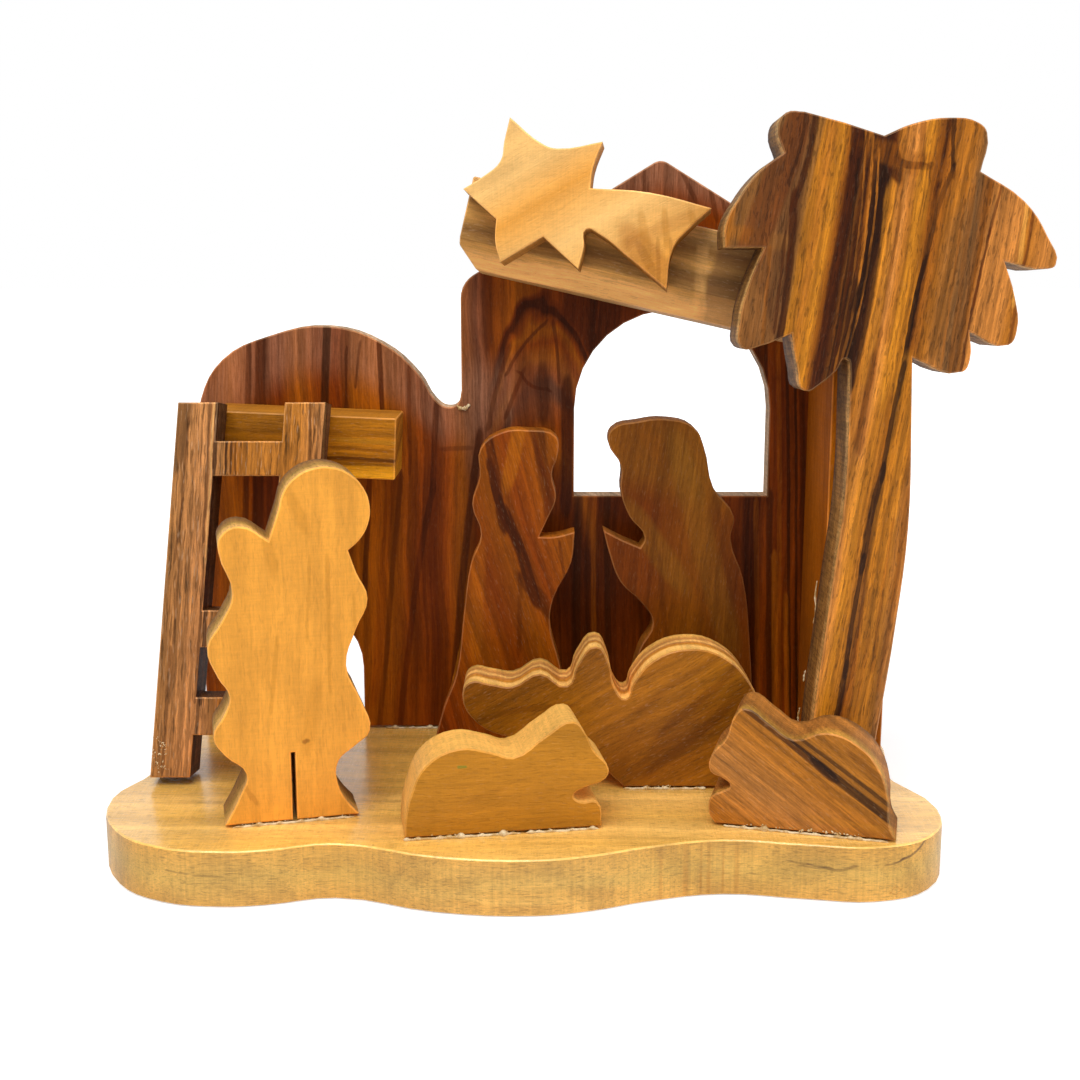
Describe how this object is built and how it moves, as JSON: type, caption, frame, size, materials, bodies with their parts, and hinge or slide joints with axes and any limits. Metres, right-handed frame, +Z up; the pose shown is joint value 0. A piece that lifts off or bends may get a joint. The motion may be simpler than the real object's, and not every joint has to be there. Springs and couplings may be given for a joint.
{
  "type": "wooden nativity scene",
  "caption": "Small nativity scene of flat sawn olive wood pieces glued upright on a scalloped base: stable wall, palm, star, ladder, figures and animals.",
  "frame": {"origin": "middle of the base's underside, on the table", "axes": "+X to the right as seen from the front, +Y to the back, towards the stable wall, +Z up"},
  "size_m": [0.1012, 0.047, 0.0795],
  "materials": {
    "pale_olive": "oiled satin",
    "honey_olive": "oiled satin",
    "brown_olive": "oiled satin",
    "dark_olive": "oiled satin"
  },
  "bodies": {
    "root": {"base": "pale_olive", "back_wall": "dark_olive", "side_post": "brown_olive", "roof_bar": "pale_olive", "star": "honey_olive", "palm_tree": "honey_olive", "cross_rail": "brown_olive", "ladder": "brown_olive", "shepherd": "honey_olive", "sheep_left": "honey_olive", "sheep_right": "brown_olive", "donkey": "brown_olive", "mary": "brown_olive", "joseph": "brown_olive"}
  },
  "joints": []
}
